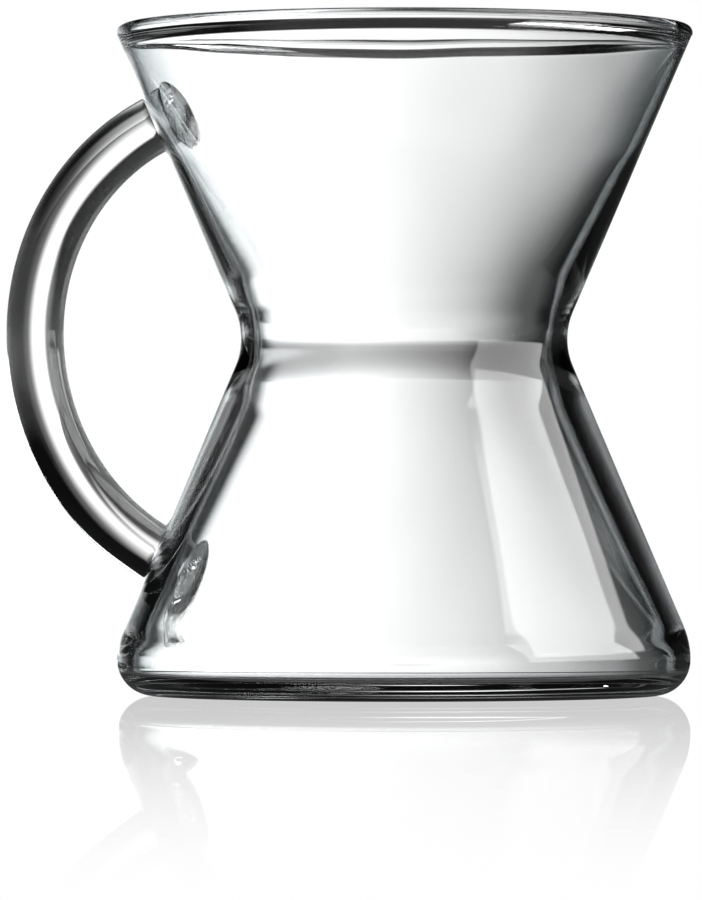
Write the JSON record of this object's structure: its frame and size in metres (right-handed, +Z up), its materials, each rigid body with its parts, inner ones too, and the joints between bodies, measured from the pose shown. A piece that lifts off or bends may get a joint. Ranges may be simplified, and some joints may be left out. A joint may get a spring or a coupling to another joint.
{
  "type": "glass mug",
  "caption": "Clear hourglass glass mug with a flat closed base, a rounded lip and a bent solid glass rod handle fused to the wall.",
  "frame": {"origin": "centre of the flat base, on the vessel's axis, where it rests", "axes": "+Z up along the vessel's axis, -X towards the handle, +Y the remaining horizontal direction"},
  "size_m": [0.1111, 0.0888, 0.103],
  "materials": {
    "vessel_glass": "clear, fire-polished",
    "handle_glass": "clear solid rod"
  },
  "bodies": {
    "root": {"glass_vessel": "vessel_glass", "handle_rod": "handle_glass", "upper_handle_weld": "handle_glass", "lower_handle_weld": "handle_glass"}
  },
  "joints": []
}
